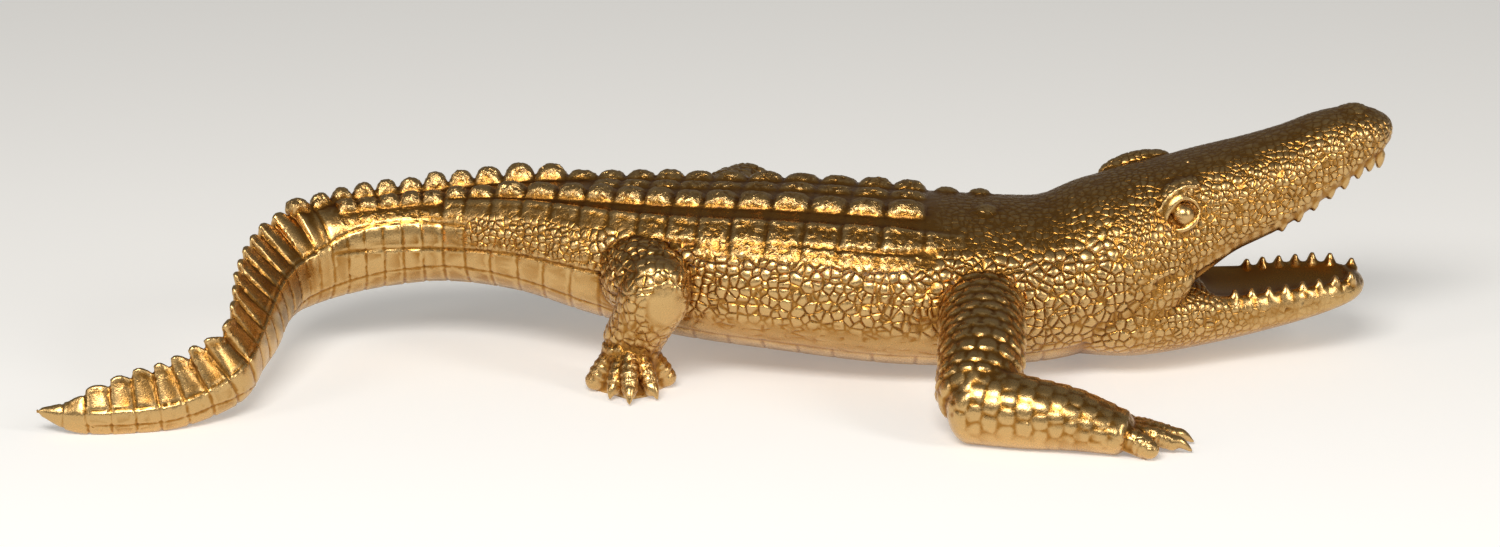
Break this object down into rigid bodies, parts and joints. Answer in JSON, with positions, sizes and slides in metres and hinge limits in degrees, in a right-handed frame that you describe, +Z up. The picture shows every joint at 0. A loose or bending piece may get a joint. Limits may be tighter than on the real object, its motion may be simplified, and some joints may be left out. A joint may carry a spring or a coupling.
{
  "type": "crocodile sculpture",
  "caption": "Metallic gold crocodile figure cast in one piece, jaws open, head raised, tail swung out in an S, standing on its own feet and tail.",
  "frame": {"origin": "on the ground, below the middle of the bounding box", "axes": "+X towards the snout along the length, +Y to the animal's left, +Z up"},
  "size_m": [0.5856, 0.2728, 0.1119],
  "materials": {
    "gold_finish": "metallic gold paint over a cast figure, glossy on the raised scales and brown in the recesses"
  },
  "bodies": {
    "root": {"crocodile": "gold_finish"}
  },
  "joints": []
}
